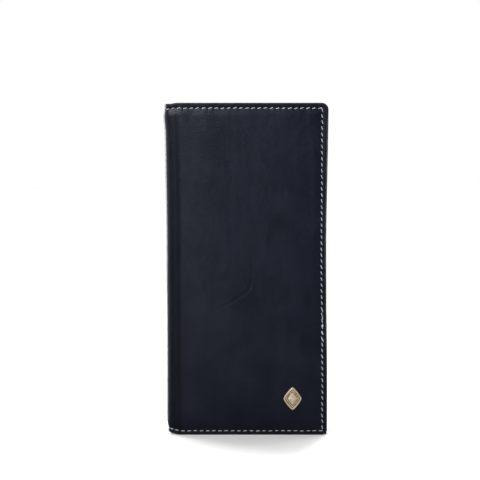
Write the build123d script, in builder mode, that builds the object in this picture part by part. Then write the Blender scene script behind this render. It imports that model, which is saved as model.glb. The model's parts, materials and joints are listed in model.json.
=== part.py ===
from build123d import *
from math import floor, hypot, pi
import os

os.makedirs("parts", exist_ok=True)

# A long two-fold leather wallet, closed and standing on its bottom edge.
# +Z runs up the wallet, the front cover faces -Y and the spine is at -X.
# The origin is the middle of the bottom of the closed wallet's box.
# All sizes are in millimetres.

# Closed size, leather to leather
WIDTH = 93.0
HEIGHT = 190.0
THICKNESS = 18.0

# Sheet thicknesses, from the outside inwards
COVER = 1.4
BOARD = 0.8
LINING = 0.5
NOTE_SPACE = 0.6
NOTE_PANEL = 0.8
SLOT_LEATHER = 0.7
COIN_BAG = 0.4
COIN_SPACE = 1.8
COIN_PANEL = 0.8

# Outline of the covers
TOP_CORNER = 4.0
BOTTOM_CORNER = 3.0
FOLD_SIDE_CORNER = 0.6
FOLD_BEND = 5.5  # outside radius of the leather's bend beside the spine
FOLD_CLEARANCE = 0.3
INNER_START = 8.5  # the inner sheets start this far from the outside of the spine
INNER_INSET = 0.3  # the inner sheets stop this far inside the covers' edges

# Pockets
SEAM_WIDTH = 4.0
FRONT_SLOTS = 6
FRONT_SLOT_TOP = 174.0
BACK_SLOTS = 4
BACK_SLOT_TOP = 86.0
SLOT_STEP = 13.0
COIN_LOW = 91.0

# Coin pocket zip
ZIP_HEIGHT = 170.0
WINDOW_LOW_X = -30.0
WINDOW_HIGH_X = 38.0
WINDOW_HEIGHT = 9.0
WINDOW_CORNER = 1.5
TAPE_THICKNESS = 0.4
TAPE_WIDTH = 6.0
TAPE_END = 4.0
TOOTH_PITCH = 2.0
TOOTH_LENGTH = 1.2
TOOTH_REACH = 1.8
TOOTH_THICKNESS = 1.6
TOOTH_GRIP = 0.7  # how far a tooth wraps round the edge of its tape
ROW_GAP = 0.8
STOP_LENGTH = 2.2
STOP_GAP = 0.3  # left between the slider and the stops at the closed end

# Zip slider and its swivelling puller
SLIDER_LENGTH = 8.0
SLIDER_WIDTH = 6.4
SLIDER_CORNER = 1.6
SLIDER_PLATE = 0.45
SLIDER_RUNNING = 0.13
FLANGE_WIDTH = 0.6
FLANGE_RUNNING = 0.2
PILLAR_LENGTH = 1.6
PILLAR_WIDTH = 0.5
PILLAR_CORNER = 0.16
STUD_RADIUS = 0.8
STUD_BORE = 0.42
STUD_BORE_DEPTH = 0.7
RIVET_SHANK = 0.4
RIVET_SHANK_LENGTH = 0.63
RIVET_HEAD = 1.5
RIVET_HEAD_THICKNESS = 0.4
RIVET_HEAD_ROUND = 0.2
PULLER_THICKNESS = 0.8
PULLER_PLAY = 0.1
PULLER_BORE_PLAY = 0.08
PULLER_LENGTH = 16.0
PULLER_EYE = 2.3
PULLER_TIP = 2.0

# Stitching
STITCH_LENGTH = 2.4
STITCH_WIDTH = 0.7
STITCH_PITCH = 3.4
STITCH_DEPTH = 0.4
STITCH_SUNK = 0.05
GROOVE_PLAY = 0.15
TOP_SEAM = 3.0
EDGE_SEAM = 2.9
BOTTOM_SEAM = 2.4
COIN_SEAM = 1.6
STITCH_SLANT = 16.0
BOTTOM_SLANT = 4.0

# Badge on the lower front of the wallet
EMBLEM_X = 26.5
EMBLEM_Z = 21.5
EMBLEM_WIDTH = 11.0
EMBLEM_HEIGHT = 15.0
EMBLEM_PROUD = 1.0
EMBLEM_BASE = 0.5
EMBLEM_RIM = 1.0
EMBLEM_GROOVE = 0.4
EMBLEM_PYRAMID = 0.4
EMBLEM_TAPER = 62.0
EMBLEM_CORNER = 1.2
EMBLEM_INNER_CORNER = 0.6
PRONG_RADIUS = 0.5
PRONG_PLAY = 0.05
PRONG_SPACING = 6.0
WASHER_WIDTH = 6.0
WASHER_HEIGHT = 10.0
WASHER_THICKNESS = 0.5
WASHER_CORNER = 1.0
WASHER_PLAY = 0.2

# Places worked out from the sizes above
spine_x = -WIDTH / 2
edge_x = WIDTH / 2
front_y = -(THICKNESS + EMBLEM_PROUD) / 2 + EMBLEM_PROUD
back_y = front_y + THICKNESS
inner_x = spine_x + INNER_START

# The fold axes lie where the leather's bend keeps its length when the wallet opens flat.
fold_inset = FOLD_BEND - (FOLD_BEND - COVER / 2) * pi / 4
fold_x = spine_x + fold_inset
front_fold_y = front_y + fold_inset
back_fold_y = back_y - fold_inset
cover_x = fold_x + fold_inset + FOLD_CLEARANCE

# Depths below the outside of a cover
board_depth = COVER
lining_depth = board_depth + BOARD
note_space_depth = lining_depth + LINING
note_panel_depth = note_space_depth + NOTE_SPACE
pocket_depth = note_panel_depth + NOTE_PANEL
coin_space_depth = pocket_depth + COIN_BAG
coin_panel_depth = coin_space_depth + COIN_SPACE
coin_face_depth = coin_panel_depth + COIN_PANEL
tape_depth = coin_panel_depth - TAPE_THICKNESS
tooth_depth = tape_depth + TAPE_THICKNESS / 2 - TOOTH_THICKNESS / 2
tooth_face_depth = tooth_depth + TOOTH_THICKNESS
tape_low_z = ROW_GAP / 2 + TOOTH_REACH - TOOTH_GRIP


def front(depth):
    """The Y of a depth below the outside of the front cover."""
    return front_y + depth


def back(depth):
    """The Y of a depth below the outside of the back cover."""
    return back_y - depth


def facing(y):
    """An upright plane at y, with its own x along X and its own y along Z."""
    return Plane.XZ.offset(-y)


def outline(y, low_x, high_x, low_z, high_z, top=0.0, bottom=0.0, inner=0.0):
    """A rectangle at y with rounded corners: top and bottom at the open edge, inner at the spine."""
    with BuildSketch(facing(y)) as shape:
        with Locations(((low_x + high_x) / 2, (low_z + high_z) / 2)):
            Rectangle(high_x - low_x, high_z - low_z)
        open_side = shape.vertices().group_by(Axis.X)[-1].sort_by(Axis.Y)
        spine_side = shape.vertices().group_by(Axis.X)[0]
        if top > 0:
            fillet(open_side[-1], top)
        if bottom > 0:
            fillet(open_side[0], bottom)
        if inner > 0:
            fillet(spine_side, inner)
    return shape.sketch


def box_outline(y, centre_x, centre_z, width, height, corner):
    """A rectangle at y about a centre, with all four corners rounded."""
    with BuildSketch(facing(y)) as shape:
        with Locations((centre_x, centre_z)):
            RectangleRounded(width, height, corner)
    return shape.sketch


def inner_outline(y, low_z, high_z, top=0.0, bottom=0.0, seam=0.0):
    """The outline of an inner sheet at y, drawn in by seam on every side but the spine's."""
    return outline(
        y,
        inner_x,
        edge_x - INNER_INSET - seam,
        low_z + seam,
        high_z - seam,
        max(top - seam, 0),
        max(bottom - seam, 0),
    )


def stitch_row(start, end, slant):
    """Evenly spaced stitches from start to end: a list of each one's centre and angle in degrees."""
    run = Vector(*end) - Vector(*start)
    count = floor(run.length / STITCH_PITCH) + 1
    along = Vector(1, 0).get_signed_angle(run)
    return [(Vector(*start) + run * (i / (count - 1)), along + slant) for i in range(count)]


def stitches(plane, places, length, width):
    """Stadium shapes on plane, one for each stitch."""
    with BuildSketch(plane) as shape:
        for centre, angle in places:
            with Locations(Location((centre.X, centre.Y, 0), (0, 0, angle))):
                SlotOverall(length, width)
    return shape.sketch


def thread_shapes(plane, places):
    """The outline of each stitch's thread."""
    return stitches(plane, places, STITCH_LENGTH, STITCH_WIDTH)


def groove_shapes(plane, places):
    """The outline of the groove each stitch lies in."""
    return stitches(plane, places, STITCH_LENGTH + 2 * GROOVE_PLAY, STITCH_WIDTH + 2 * GROOVE_PLAY)


def save(part, label):
    """Names a finished part and writes its file."""
    part.label = label
    export_step(part, f"parts/{label}.step")


# Ends and corners of the sheets behind the covers
full_low = INNER_INSET
full_high = HEIGHT - INNER_INSET
inner_top = TOP_CORNER - INNER_INSET
inner_bottom = BOTTOM_CORNER - INNER_INSET

# Perimeter seam of a cover: along the top, down the open edge and along the bottom
seam_start_x = cover_x + STITCH_LENGTH
seam_edge_x = edge_x - EDGE_SEAM
seam_top_z = HEIGHT - TOP_SEAM
cover_seam = (
    stitch_row((seam_start_x, seam_top_z), (seam_edge_x - STITCH_LENGTH, seam_top_z), STITCH_SLANT)
    + stitch_row(
        (seam_edge_x, seam_top_z - STITCH_LENGTH / 2),
        (seam_edge_x, BOTTOM_SEAM + STITCH_LENGTH),
        STITCH_SLANT,
    )
    + stitch_row((seam_start_x, BOTTOM_SEAM), (seam_edge_x, BOTTOM_SEAM), BOTTOM_SLANT)
)

# Front half ---------------------------------------------------------------

# Outer leather of the front, with a groove for each stitch and two holes for the badge's prongs
prong_places = [(EMBLEM_X, EMBLEM_Z - PRONG_SPACING / 2), (EMBLEM_X, EMBLEM_Z + PRONG_SPACING / 2)]
with BuildPart() as front_cover:
    extrude(
        outline(front(COVER), cover_x, edge_x, 0, HEIGHT, TOP_CORNER, BOTTOM_CORNER, FOLD_SIDE_CORNER),
        amount=COVER,
    )
    extrude(
        groove_shapes(facing(front_y), cover_seam),
        amount=-(STITCH_DEPTH + STITCH_SUNK),
        mode=Mode.SUBTRACT,
    )
    with BuildSketch(facing(front_y)):
        with Locations(*prong_places):
            Circle(PRONG_RADIUS + PRONG_PLAY)
    extrude(amount=-COVER, mode=Mode.SUBTRACT)
save(front_cover.part, "front_cover")

# Thread of the front cover's seam, just below the leather's surface
with BuildPart() as front_stitching:
    extrude(thread_shapes(facing(front(STITCH_SUNK)), cover_seam), amount=-STITCH_DEPTH)
save(front_stitching.part, "front_stitching")


def lozenge(y, inset, corner):
    """The badge's outline at y, drawn in by inset all round."""
    half_width = EMBLEM_WIDTH / 2
    half_height = EMBLEM_HEIGHT / 2
    kept = 1 - inset * hypot(half_width, half_height) / (half_width * half_height)
    with BuildSketch(facing(y)) as shape:
        with Locations((EMBLEM_X, EMBLEM_Z)):
            Polygon(
                (0, half_height * kept),
                (-half_width * kept, 0),
                (0, -half_height * kept),
                (half_width * kept, 0),
                align=None,
            )
        if corner > 0:
            fillet(shape.vertices(), corner)
    return shape.sketch


# Badge: a lozenge plate with a raised rim, a pyramid in its middle and two prongs behind
with BuildPart() as emblem_plate:
    extrude(lozenge(front_y, 0, EMBLEM_CORNER), amount=EMBLEM_PROUD)
    extrude(
        lozenge(front_y - EMBLEM_BASE, EMBLEM_RIM, EMBLEM_INNER_CORNER),
        amount=EMBLEM_PROUD,
        mode=Mode.SUBTRACT,
    )
    extrude(
        lozenge(front_y - EMBLEM_BASE, EMBLEM_RIM + EMBLEM_GROOVE, 0),
        amount=EMBLEM_PYRAMID,
        taper=EMBLEM_TAPER,
    )
    with BuildSketch(facing(front_y)):
        with Locations(*prong_places):
            Circle(PRONG_RADIUS)
    extrude(amount=-(COVER + WASHER_THICKNESS))
save(emblem_plate.part, "emblem_plate")

# Washer behind the leather that the prongs hold on to
with BuildPart() as emblem_washer:
    extrude(
        box_outline(
            front(COVER + WASHER_THICKNESS), EMBLEM_X, EMBLEM_Z, WASHER_WIDTH, WASHER_HEIGHT, WASHER_CORNER
        ),
        amount=WASHER_THICKNESS,
    )
    with BuildSketch(facing(front(COVER))):
        with Locations(*prong_places):
            Circle(PRONG_RADIUS + PRONG_PLAY)
    extrude(amount=-WASHER_THICKNESS, mode=Mode.SUBTRACT)
save(emblem_washer.part, "emblem_washer")

# Stiffening board behind the front leather, cut out round the washer
with BuildPart() as front_board:
    extrude(inner_outline(front(lining_depth), full_low, full_high, inner_top, inner_bottom), amount=BOARD)
    extrude(
        box_outline(
            front(lining_depth),
            EMBLEM_X,
            EMBLEM_Z,
            WASHER_WIDTH + 2 * WASHER_PLAY,
            WASHER_HEIGHT + 2 * WASHER_PLAY,
            WASHER_CORNER,
        ),
        amount=BOARD,
        mode=Mode.SUBTRACT,
    )
save(front_board.part, "front_board")

# Lining of the front half
with BuildPart() as front_lining:
    extrude(
        inner_outline(front(note_space_depth), full_low, full_high, inner_top, inner_bottom),
        amount=LINING,
    )
save(front_lining.part, "front_lining")

# Wall of the front note pocket, turned down to the lining on three sides and open at the spine
with BuildPart() as front_note_panel:
    extrude(
        inner_outline(front(pocket_depth), full_low, full_high, inner_top, inner_bottom),
        amount=NOTE_PANEL + NOTE_SPACE,
    )
    extrude(
        inner_outline(front(note_panel_depth), full_low, full_high, seam=SEAM_WIDTH),
        amount=NOTE_SPACE,
        mode=Mode.SUBTRACT,
    )
save(front_note_panel.part, "front_note_panel")

# Card slots of the front half, each a step lower and a sheet nearer the middle than the one before
for number in range(FRONT_SLOTS):
    with BuildPart() as front_card_slot:
        extrude(
            inner_outline(
                front(pocket_depth + (number + 1) * SLOT_LEATHER),
                full_low,
                FRONT_SLOT_TOP - number * SLOT_STEP,
                bottom=inner_bottom,
            ),
            amount=SLOT_LEATHER,
        )
    save(front_card_slot.part, f"front_card_slot_{number + 1}")

# Spine --------------------------------------------------------------------

# Outer leather of the spine, with a round fold along each fold axis
spine_seam = [
    place
    for z in (seam_top_z, BOTTOM_SEAM)
    for place in stitch_row((front_fold_y + STITCH_PITCH, z), (back_fold_y - STITCH_PITCH, z), 0)
]
spine_face = Plane.YZ.offset(spine_x)
with BuildPart() as spine_leather:
    with BuildSketch():
        with Locations((spine_x + COVER / 2, (front_fold_y + back_fold_y) / 2)):
            Rectangle(COVER, back_fold_y - front_fold_y)
        with Locations((fold_x, front_fold_y), (fold_x, back_fold_y)):
            Circle(fold_inset)
    extrude(amount=HEIGHT)
    extrude(groove_shapes(spine_face, spine_seam), amount=STITCH_DEPTH + STITCH_SUNK, mode=Mode.SUBTRACT)
save(spine_leather.part, "spine_leather")

# Thread where the top and bottom seams cross the spine
with BuildPart() as spine_stitching:
    extrude(thread_shapes(spine_face.offset(STITCH_SUNK), spine_seam), amount=STITCH_DEPTH)
save(spine_stitching.part, "spine_stitching")

# Lining of the spine, between the two folds
spine_lining_width = back_fold_y - front_fold_y - 2 * (fold_inset + FOLD_CLEARANCE)
with BuildPart() as spine_lining:
    with BuildSketch(Plane.XY.offset(full_low)):
        with Locations((spine_x + COVER + LINING / 2, (front_fold_y + back_fold_y) / 2)):
            Rectangle(LINING, spine_lining_width)
    extrude(amount=full_high - full_low)
save(spine_lining.part, "spine_lining")

# Back half ----------------------------------------------------------------

# Outer leather of the back, with a groove for each stitch
with BuildPart() as back_cover:
    extrude(
        outline(back_y, cover_x, edge_x, 0, HEIGHT, TOP_CORNER, BOTTOM_CORNER, FOLD_SIDE_CORNER),
        amount=COVER,
    )
    extrude(
        groove_shapes(facing(back_y), cover_seam),
        amount=STITCH_DEPTH + STITCH_SUNK,
        mode=Mode.SUBTRACT,
    )
save(back_cover.part, "back_cover")

# Thread of the back cover's seam
with BuildPart() as back_stitching:
    extrude(thread_shapes(facing(back(STITCH_SUNK)), cover_seam), amount=STITCH_DEPTH)
save(back_stitching.part, "back_stitching")

# Stiffening board of the back half
with BuildPart() as back_board:
    extrude(inner_outline(back(board_depth), full_low, full_high, inner_top, inner_bottom), amount=BOARD)
save(back_board.part, "back_board")

# Lining of the back half
with BuildPart() as back_lining:
    extrude(inner_outline(back(lining_depth), full_low, full_high, inner_top, inner_bottom), amount=LINING)
save(back_lining.part, "back_lining")

# Wall of the back note pocket
with BuildPart() as back_note_panel:
    extrude(
        inner_outline(back(note_space_depth), full_low, full_high, inner_top, inner_bottom),
        amount=NOTE_PANEL + NOTE_SPACE,
    )
    extrude(
        inner_outline(back(note_space_depth), full_low, full_high, seam=SEAM_WIDTH),
        amount=NOTE_SPACE,
        mode=Mode.SUBTRACT,
    )
save(back_note_panel.part, "back_note_panel")

# Card slots of the back half, below the coin pocket
for number in range(BACK_SLOTS):
    with BuildPart() as back_card_slot:
        extrude(
            inner_outline(
                back(pocket_depth + number * SLOT_LEATHER),
                full_low,
                BACK_SLOT_TOP - number * SLOT_STEP,
                bottom=inner_bottom,
            ),
            amount=SLOT_LEATHER,
        )
    save(back_card_slot.part, f"back_card_slot_{number + 1}")

# Coin pocket --------------------------------------------------------------

# Rear wall of the coin pocket's bag
with BuildPart() as coin_bag_wall:
    extrude(inner_outline(back(pocket_depth), COIN_LOW, full_high, inner_top), amount=COIN_BAG)
save(coin_bag_wall.part, "coin_bag_wall")

# Leather face of the coin pocket, turned down on all sides and open at the zip's window
window_x = (WINDOW_LOW_X + WINDOW_HIGH_X) / 2
window_length = WINDOW_HIGH_X - WINDOW_LOW_X
coin_x = (inner_x + edge_x - INNER_INSET) / 2
coin_z = (COIN_LOW + full_high) / 2
coin_width = edge_x - INNER_INSET - inner_x
coin_height = full_high - COIN_LOW
coin_seam_low_x = WINDOW_LOW_X - COIN_SEAM
coin_seam_high_x = WINDOW_HIGH_X + COIN_SEAM
coin_seam_reach = WINDOW_HEIGHT / 2 + COIN_SEAM
coin_seam = [
    place
    for z in (ZIP_HEIGHT - coin_seam_reach, ZIP_HEIGHT + coin_seam_reach)
    for place in stitch_row((coin_seam_low_x, z), (coin_seam_high_x, z), 0)
]
with BuildPart() as coin_panel:
    extrude(
        inner_outline(back(coin_space_depth), COIN_LOW, full_high, inner_top),
        amount=COIN_SPACE + COIN_PANEL,
    )
    with BuildSketch(facing(back(coin_space_depth))):
        with Locations((coin_x, coin_z)):
            Rectangle(coin_width - 2 * SEAM_WIDTH, coin_height - 2 * SEAM_WIDTH)
    extrude(amount=COIN_SPACE, mode=Mode.SUBTRACT)
    extrude(
        box_outline(
            back(coin_space_depth), window_x, ZIP_HEIGHT, window_length, WINDOW_HEIGHT, WINDOW_CORNER
        ),
        amount=COIN_SPACE + COIN_PANEL,
        mode=Mode.SUBTRACT,
    )
    extrude(
        groove_shapes(facing(back(coin_face_depth)), coin_seam),
        amount=-(STITCH_DEPTH + STITCH_SUNK),
        mode=Mode.SUBTRACT,
    )
save(coin_panel.part, "coin_panel")

# Thread along both long sides of the zip's window
with BuildPart() as coin_stitching:
    extrude(thread_shapes(facing(back(coin_face_depth - STITCH_SUNK)), coin_seam), amount=-STITCH_DEPTH)
save(coin_stitching.part, "coin_stitching")

# Zip ----------------------------------------------------------------------


def zip_block(side, low_x, length, low_z, reach):
    """The outline of a tooth or stop on one side of the zip: side is 1 above and -1 below."""
    with BuildSketch(facing(back(tooth_depth))) as shape:
        with Locations((low_x + length / 2, ZIP_HEIGHT + side * (low_z + reach / 2))):
            Rectangle(length, reach)
    return shape.sketch


def tape_outline(side):
    """The outline of the tape on one side of the zip."""
    with BuildSketch(facing(back(tape_depth))) as shape:
        with Locations((window_x, ZIP_HEIGHT + side * (tape_low_z + TAPE_WIDTH / 2))):
            Rectangle(window_length + 2 * TAPE_END, TAPE_WIDTH)
    return shape.sketch


tooth_start_x = WINDOW_LOW_X + STOP_LENGTH + TOOTH_PITCH / 2
tooth_end_x = WINDOW_HIGH_X - STOP_LENGTH - TOOTH_PITCH
tooth_count = floor((tooth_end_x - tooth_start_x) / TOOTH_PITCH)
zip_sides = {"upper": 1, "lower": -1}

# Woven tapes, one above and one below the teeth
for name, side in zip_sides.items():
    with BuildPart() as zip_tape:
        extrude(tape_outline(side), amount=TAPE_THICKNESS)
    save(zip_tape.part, f"zip_tape_{name}")

# Teeth, each wrapped round the edge of its tape; the lower row is half a pitch along
for name, side in zip_sides.items():
    first_x = tooth_start_x + (TOOTH_PITCH / 2 if side < 0 else 0)
    with BuildPart() as zip_teeth:
        for number in range(tooth_count):
            extrude(
                zip_block(side, first_x + number * TOOTH_PITCH, TOOTH_LENGTH, ROW_GAP / 2, TOOTH_REACH),
                amount=TOOTH_THICKNESS,
            )
        extrude(tape_outline(side), amount=TAPE_THICKNESS, mode=Mode.SUBTRACT)
    save(zip_teeth.part, f"zip_teeth_{name}")

# Stops at both ends: one on each tape at the closed end, and one across both at the other end
stop_reach = TOOTH_REACH + ROW_GAP / 2
with BuildPart() as zip_stops:
    for side in zip_sides.values():
        extrude(
            zip_block(side, WINDOW_HIGH_X - STOP_LENGTH, STOP_LENGTH, ROW_GAP / 2, TOOTH_REACH),
            amount=TOOTH_THICKNESS,
        )
        extrude(zip_block(side, WINDOW_LOW_X, STOP_LENGTH, 0, stop_reach), amount=TOOTH_THICKNESS)
    for side in zip_sides.values():
        extrude(tape_outline(side), amount=TAPE_THICKNESS, mode=Mode.SUBTRACT)
save(zip_stops.part, "zip_stops")

# Slider, resting against the stops at the closed end: two plates round the teeth, joined by a pillar
slider_x = WINDOW_HIGH_X - STOP_LENGTH - STOP_GAP - SLIDER_LENGTH / 2
slider_low_depth = tooth_depth - SLIDER_RUNNING - SLIDER_PLATE
slider_high_depth = tooth_face_depth + SLIDER_RUNNING
slider_face_depth = slider_high_depth + SLIDER_PLATE
stud_top_depth = slider_face_depth + 2 * PULLER_PLAY + PULLER_THICKNESS
with BuildPart() as zip_slider:
    extrude(
        box_outline(
            back(slider_low_depth), slider_x, ZIP_HEIGHT, SLIDER_LENGTH, SLIDER_WIDTH, SLIDER_CORNER
        ),
        amount=SLIDER_PLATE,
    )
    extrude(
        box_outline(
            back(slider_high_depth), slider_x, ZIP_HEIGHT, SLIDER_LENGTH, SLIDER_WIDTH, SLIDER_CORNER
        ),
        amount=SLIDER_PLATE,
    )
    flange_z = SLIDER_WIDTH / 2 - FLANGE_WIDTH / 2
    flange_length = SLIDER_LENGTH - 2 * SLIDER_CORNER
    low_flange = tape_depth - FLANGE_RUNNING - (slider_low_depth + SLIDER_PLATE)
    high_flange = slider_high_depth - (tape_depth + TAPE_THICKNESS + FLANGE_RUNNING)
    with BuildSketch(facing(back(slider_low_depth + SLIDER_PLATE))):
        with Locations((slider_x, ZIP_HEIGHT - flange_z), (slider_x, ZIP_HEIGHT + flange_z)):
            Rectangle(flange_length, FLANGE_WIDTH)
    extrude(amount=low_flange)
    with BuildSketch(facing(back(slider_high_depth))):
        with Locations((slider_x, ZIP_HEIGHT - flange_z), (slider_x, ZIP_HEIGHT + flange_z)):
            Rectangle(flange_length, FLANGE_WIDTH)
    extrude(amount=-high_flange)
    with BuildSketch(facing(back(slider_low_depth + SLIDER_PLATE))):
        with Locations((slider_x + SLIDER_LENGTH / 2 - PILLAR_LENGTH, ZIP_HEIGHT)):
            RectangleRounded(PILLAR_LENGTH, PILLAR_WIDTH, PILLAR_CORNER)
    extrude(amount=slider_high_depth - slider_low_depth - SLIDER_PLATE)
    with BuildSketch(facing(back(slider_face_depth))):
        with Locations((slider_x, ZIP_HEIGHT)):
            Circle(STUD_RADIUS)
    extrude(amount=stud_top_depth - slider_face_depth)
    with BuildSketch(facing(back(stud_top_depth))):
        with Locations((slider_x, ZIP_HEIGHT)):
            Circle(STUD_BORE)
    extrude(amount=-STUD_BORE_DEPTH, mode=Mode.SUBTRACT)
save(zip_slider.part, "zip_slider")

# Rivet in the slider's stud, whose head keeps the puller on
with BuildPart() as puller_rivet:
    with BuildSketch(facing(back(stud_top_depth))):
        with Locations((slider_x, ZIP_HEIGHT)):
            Circle(RIVET_HEAD)
    extrude(amount=RIVET_HEAD_THICKNESS)
    fillet(puller_rivet.edges().group_by(Axis.Y)[0], RIVET_HEAD_ROUND)
    with BuildSketch(facing(back(stud_top_depth))):
        with Locations((slider_x, ZIP_HEIGHT)):
            Circle(RIVET_SHANK)
    extrude(amount=-RIVET_SHANK_LENGTH)
save(puller_rivet.part, "puller_rivet")

# Puller: a flat tab that hangs from an eye on the stud
puller_depth = slider_face_depth + PULLER_PLAY
with BuildPart() as zip_puller:
    with BuildSketch(facing(back(puller_depth))):
        with Locations((slider_x, ZIP_HEIGHT)):
            Circle(PULLER_EYE)
        with Locations((slider_x, ZIP_HEIGHT - PULLER_LENGTH + PULLER_TIP)):
            Circle(PULLER_TIP)
        make_hull()
        with Locations((slider_x, ZIP_HEIGHT)):
            Circle(STUD_RADIUS + PULLER_BORE_PLAY, mode=Mode.SUBTRACT)
    extrude(amount=PULLER_THICKNESS)
save(zip_puller.part, "zip_puller")
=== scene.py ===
import json
import math

import bmesh
import bpy
import numpy as np
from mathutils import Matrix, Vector, noise

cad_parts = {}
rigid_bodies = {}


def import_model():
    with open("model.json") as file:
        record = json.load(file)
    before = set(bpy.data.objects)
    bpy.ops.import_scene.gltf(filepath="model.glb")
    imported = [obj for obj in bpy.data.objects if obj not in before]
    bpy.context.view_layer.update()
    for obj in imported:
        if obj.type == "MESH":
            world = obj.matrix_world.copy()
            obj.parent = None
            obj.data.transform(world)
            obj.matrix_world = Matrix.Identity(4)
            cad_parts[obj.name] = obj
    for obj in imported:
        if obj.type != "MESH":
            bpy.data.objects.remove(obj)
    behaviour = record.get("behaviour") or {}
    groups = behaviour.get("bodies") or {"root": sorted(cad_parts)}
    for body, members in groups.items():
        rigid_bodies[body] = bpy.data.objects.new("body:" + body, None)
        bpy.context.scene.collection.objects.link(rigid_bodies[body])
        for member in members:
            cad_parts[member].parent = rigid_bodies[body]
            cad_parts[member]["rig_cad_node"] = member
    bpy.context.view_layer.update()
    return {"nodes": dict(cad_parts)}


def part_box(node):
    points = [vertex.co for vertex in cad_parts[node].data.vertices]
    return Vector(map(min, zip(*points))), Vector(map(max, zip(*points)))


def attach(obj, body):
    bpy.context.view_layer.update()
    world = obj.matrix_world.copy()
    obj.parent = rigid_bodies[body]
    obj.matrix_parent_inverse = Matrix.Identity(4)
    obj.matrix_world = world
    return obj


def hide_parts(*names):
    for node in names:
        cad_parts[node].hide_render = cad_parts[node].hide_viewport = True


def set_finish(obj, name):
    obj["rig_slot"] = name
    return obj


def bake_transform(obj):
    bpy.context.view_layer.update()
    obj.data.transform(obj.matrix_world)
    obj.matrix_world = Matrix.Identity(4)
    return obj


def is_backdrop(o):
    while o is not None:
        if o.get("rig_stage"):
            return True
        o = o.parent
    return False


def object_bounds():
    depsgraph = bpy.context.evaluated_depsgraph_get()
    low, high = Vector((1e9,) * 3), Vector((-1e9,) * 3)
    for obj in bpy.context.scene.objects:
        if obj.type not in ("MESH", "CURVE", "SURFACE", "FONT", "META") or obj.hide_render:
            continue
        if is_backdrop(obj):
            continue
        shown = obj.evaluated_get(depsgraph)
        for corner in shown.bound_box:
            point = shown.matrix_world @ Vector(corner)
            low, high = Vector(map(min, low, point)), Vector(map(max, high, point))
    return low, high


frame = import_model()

MM = 0.001

# --- Places that come from the frame

front_low, front_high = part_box("front_cover")
FRONT_Y = front_low.y
BACK_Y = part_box("back_cover")[1].y
MIDDLE_Y = (FRONT_Y + BACK_Y) / 2
SPINE_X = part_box("spine_leather")[0].x
OPEN_X = front_high.x
LOW_Z = front_low.z
HIGH_Z = front_high.z
COVER = front_high.y - front_low.y  # thickness of the leather

# --- Sizes that only the looks need

FOLD_BEND = 5.5 * MM  # outside radius of the leather's bend beside the spine
TOP_CORNER = 4.0 * MM
BOTTOM_CORNER = 3.4 * MM
EDGE_ROUND = 0.75 * MM
SHEET_ROUND = 0.3 * MM
SKIN_STEP = 0.7 * MM  # between grid lines in the middle of a skin
SHEET_STEP = 2.0 * MM  # the same, on an inner sheet
SEAM_STEP = 0.3 * MM
SEAM_ZONE = 5.0 * MM
HAIR = 0.02 * MM  # a distance too small to see

STITCH_PITCH = 3.4 * MM
STITCH_LENGTH = 2.05 * MM
THREAD = 0.24 * MM
TOP_SEAM = 3.0 * MM
BOTTOM_SEAM = 2.4 * MM
EDGE_SEAM = 2.8 * MM
SLANT = math.radians(17)
# the spread of the stitches' places, angles (in radians) and lengths
STITCH_SHIFT = 0.054 * MM
STITCH_TURN = 0.05
STITCH_STRETCH = 0.04

# The outline that use has given the wallet
WAIST = 1.0 * MM
WAIST_Z = LOW_Z + 112 * MM
WAIST_LENGTH = 52 * MM
SPINE_DRAWN_IN = 0.6 * MM
SPINE_BULGE = 0.75 * MM
BULGE_Z = HIGH_Z - 5 * MM
BULGE_LENGTH = 9 * MM
SIDE_REACH = 40 * MM  # how far the waist and the spine's own shape reach across the covers
LOW_END_LIFT = 1.45 * MM
HIGH_END_DROP = 0.55 * MM

rng = np.random.default_rng(11)


# --- Mesh helpers


def smoothstep(low, high, value):
    t = np.clip((value - low) / (high - low), 0, 1)
    return t * t * (3 - 2 * t)


def bell(value, centre, width):
    """A smooth bump, 1 high at its centre."""
    return np.exp(-(((value - centre) / width) ** 2))


def levels(low, high, step, fine_low=True):
    """Grid lines from low to high: coarse in the middle, fine in the seam zone and finest at a
    rounded edge."""
    fine = [EDGE_ROUND * (1 - math.cos(math.pi / 2 * i / 4)) for i in range(4)]
    # two fine zones have to fit side by side on a narrow border
    zone = min(SEAM_ZONE, 0.4 * (high - low))
    fine += list(np.linspace(EDGE_ROUND, zone, round((zone - EDGE_ROUND) / SEAM_STEP) + 1))
    # a plain edge has a second line close by, so that its shading stays flat right up to it
    start = [low + f for f in fine] if fine_low else [low, low + HAIR]
    end = [high - f for f in reversed(fine)]
    count = max(1, round((end[0] - start[-1]) / step))
    middle = list(np.linspace(start[-1], end[0], count + 1))[1:-1]
    return np.array(start + middle + end)


def round_corners(s, z, s_high, z_low, z_high, top, bottom):
    """Moves grid points in the two corners at s_high onto quarter discs, so that the grid's rim is
    a rounded one."""
    s, z = s.copy(), z.copy()
    for radius, up in ((top, 1), (bottom, -1)):
        corner_z = z_high - radius if up > 0 else z_low + radius
        a = (s - (s_high - radius)) / radius
        b = up * (z - corner_z) / radius
        inside = (a > 0) & (b > 0)
        a, b = np.clip(a, 0, 1), np.clip(b, 0, 1)
        new_s = s_high - radius + radius * a * np.sqrt(1 - b * b / 2)
        new_z = corner_z + up * radius * b * np.sqrt(1 - a * a / 2)
        s = np.where(inside, new_s, s)
        z = np.where(inside, new_z, z)
    return s, z


def rim_distance(s, z, s_high, z_low, z_high, top, bottom):
    """How far inside the rounded outline a point is; the side at low s has no rim."""
    middle = (z_low + z_high) / 2
    radius = np.where(z > middle, top, bottom)
    qs = s - (s_high - radius)
    qz = np.abs(z - middle) - ((z_high - z_low) / 2 - radius)
    outside = np.hypot(np.maximum(qs, 0), np.maximum(qz, 0))
    return -(outside + np.minimum(np.maximum(qs, qz), 0) - radius)


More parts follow.
